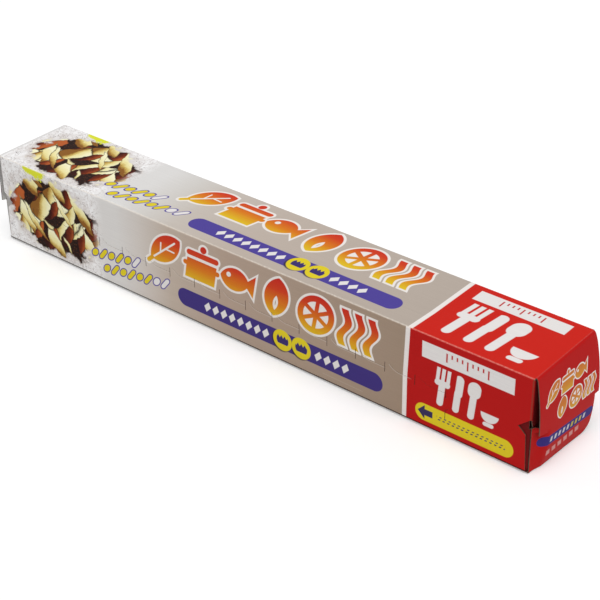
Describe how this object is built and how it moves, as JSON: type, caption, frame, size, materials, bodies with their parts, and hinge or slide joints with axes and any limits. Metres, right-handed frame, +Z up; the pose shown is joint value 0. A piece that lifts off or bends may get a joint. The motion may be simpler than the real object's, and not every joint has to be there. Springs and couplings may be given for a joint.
{
  "type": "boxed aluminium foil roll",
  "caption": "Household aluminium foil roll in its sealed, long printed board carton with a tear line across the front and closed end flaps.",
  "frame": {"origin": "middle of the carton's base, on the surface it stands on", "axes": "+X along the roll towards the end with the thumb tab, -Y towards the front with the tear line, +Z up"},
  "size_m": [0.3196, 0.045, 0.0465],
  "materials": {
    "printed_board": "coated print, satin"
  },
  "bodies": {
    "root": {"carton": "printed_board"}
  },
  "joints": []
}
